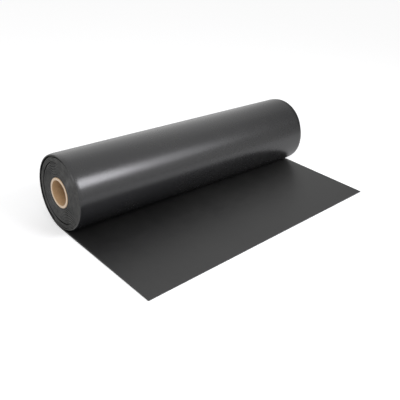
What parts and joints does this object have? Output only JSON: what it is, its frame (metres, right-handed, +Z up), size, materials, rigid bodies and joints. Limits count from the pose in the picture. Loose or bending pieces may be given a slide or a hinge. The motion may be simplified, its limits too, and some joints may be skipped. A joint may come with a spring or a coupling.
{
  "type": "roll of roofing felt",
  "caption": "Roll of smooth black bituminous roofing felt, spirally wound on a cardboard core tube, lying on its side with a flat unrolled tail in front.",
  "frame": {"origin": "on the floor straight below the roll's axis, halfway along the width of the sheet, where the outermost turn touches the floor", "axes": "+X along the roll's axis, +Y to the back, away from the tail, +Z up"},
  "size_m": [1.006, 0.5329, 0.2339],
  "materials": {
    "felt": "smooth glossy black bituminous sheet",
    "core_board": "matt kraft paper tube"
  },
  "bodies": {
    "root": {"felt_sheet": "felt", "core_tube": "core_board"}
  },
  "joints": []
}
